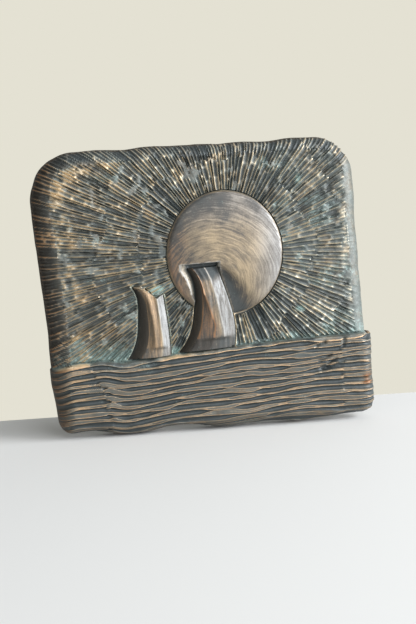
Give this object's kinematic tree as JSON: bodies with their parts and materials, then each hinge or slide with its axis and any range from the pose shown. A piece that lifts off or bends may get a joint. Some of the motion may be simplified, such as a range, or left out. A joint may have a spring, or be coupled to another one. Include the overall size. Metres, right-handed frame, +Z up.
{
  "type": "decorative wall plaque",
  "caption": "Squarish cast relief plaque with rounded corners: a domed sun in carved rays, standing stones and a thicker band of wavy water, flat back with a nail pocket.",
  "frame": {"origin": "middle of the flat back, where the plaque rests against the wall", "axes": "+Y out of the back, into the wall; -Y is the way the carved front looks; +Z up; +X to the right seen from the front"},
  "size_m": [0.1546, 0.0134, 0.1358],
  "materials": {
    "bronze": "cast bronze with a dark brown-black patina, rubbed bright on the crests, with verdigris in the hollows"
  },
  "bodies": {
    "root": {"plaque": "bronze"}
  },
  "joints": []
}
